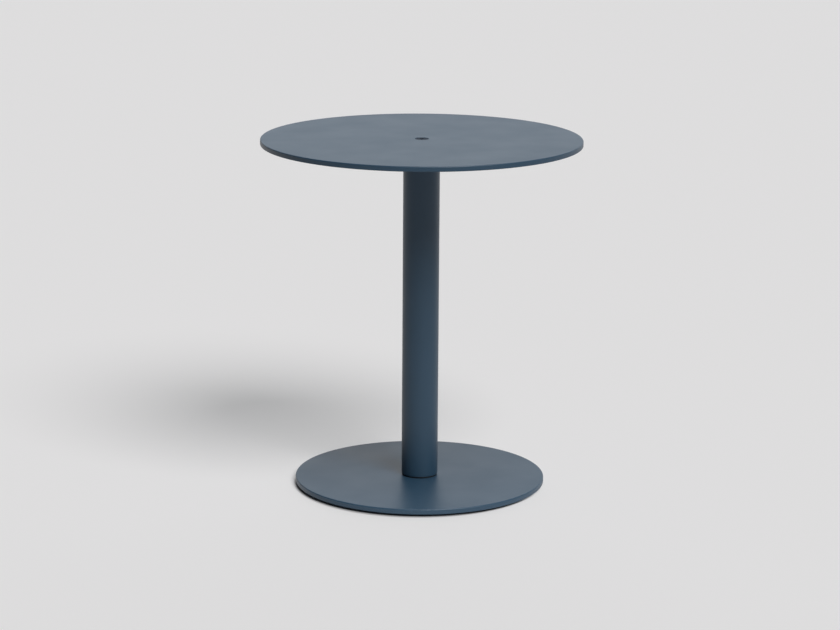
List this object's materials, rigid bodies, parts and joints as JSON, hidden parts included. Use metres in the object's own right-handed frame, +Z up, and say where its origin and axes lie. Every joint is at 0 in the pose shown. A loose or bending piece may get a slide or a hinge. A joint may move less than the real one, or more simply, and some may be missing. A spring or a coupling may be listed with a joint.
{
  "type": "round coffee table",
  "caption": "Low round pedestal table: a thin coated steel top screwed to a steel tube that stands on a round foot plate with glides.",
  "frame": {"origin": "on the floor under the centre of the column", "axes": "+Z up along the column; the table is round, +X runs through a glide and a dowel of the top"},
  "size_m": [0.5, 0.5, 0.551],
  "materials": {
    "powder_coat": "satin fine-texture slate blue powder coat",
    "screw_steel": "blackened",
    "turned_steel": "turned",
    "gasket_rubber": "matt",
    "glide_nylon": "matt moulded"
  },
  "bodies": {
    "root": {"table_top": "powder_coat", "top_screw": "screw_steel", "top_gasket": "gasket_rubber", "head_plug": "turned_steel", "column_tube": "powder_coat", "foot_plug": "turned_steel", "foot_gasket": "gasket_rubber", "base_plate": "powder_coat", "top_dowel_1": "turned_steel", "top_dowel_2": "turned_steel", "base_screw_1": "screw_steel", "base_screw_2": "screw_steel", "base_screw_3": "screw_steel", "glide_1": "glide_nylon", "glide_2": "glide_nylon", "glide_3": "glide_nylon", "glide_4": "glide_nylon", "glide_5": "glide_nylon", "glide_6": "glide_nylon", "glide_screw_1": "screw_steel", "glide_screw_2": "screw_steel", "glide_screw_3": "screw_steel", "glide_screw_4": "screw_steel", "glide_screw_5": "screw_steel", "glide_screw_6": "screw_steel"}
  },
  "joints": []
}
